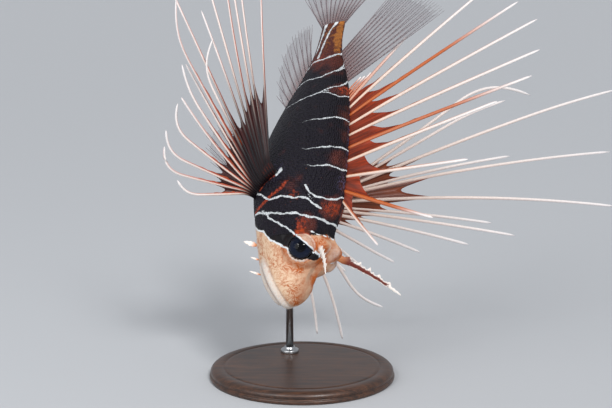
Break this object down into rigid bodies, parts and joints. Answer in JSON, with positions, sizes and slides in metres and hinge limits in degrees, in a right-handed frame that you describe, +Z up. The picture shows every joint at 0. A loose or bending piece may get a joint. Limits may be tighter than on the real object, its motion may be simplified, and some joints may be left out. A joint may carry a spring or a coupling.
{
  "type": "clearfin lionfish",
  "caption": "Clearfin lionfish diving head down, with white banded dark skin and long free fin rays, held still on a display rod and round base.",
  "frame": {"origin": "the middle of the stand base's flat underside", "axes": "+Z up, -Y towards the viewer of the picture, +X to that viewer's right; the fish's snout points down and its back towards +X"},
  "size_m": [0.2405, 0.1737, 0.2506],
  "materials": {
    "dark_skin": "satin, finely scaled, near black to maroon with thin white lines",
    "face_skin": "satin, orange mottled over cream white",
    "fin_rays": "smooth, white with orange brown rear edges and dark red webs",
    "fin_web": "thin and see-through, purple grey",
    "horn": "soft skin, dark red brown with a ragged white edge",
    "eye": "wet and glossy, blue black",
    "dark_wood": "satin dark stained",
    "steel": "brushed"
  },
  "bodies": {
    "root": {"head": "face_skin", "lower_jaw": "face_skin", "gill_cover_left": "dark_skin", "gill_cover_right": "dark_skin", "trunk": "dark_skin", "tail_stem": "dark_skin", "eye_left": "eye", "eye_right": "eye", "horn_left": "horn", "horn_right": "horn", "pectoral_fin_left": "fin_rays", "pectoral_fin_right": "fin_rays", "spiny_dorsal_fin": "fin_rays", "soft_dorsal_fin": "fin_web", "anal_fin": "fin_web", "tail_fin": "fin_web", "pelvic_fin_left": "fin_web", "pelvic_fin_right": "fin_web", "stand_base": "dark_wood", "stand_rod": "steel"}
  },
  "joints": []
}
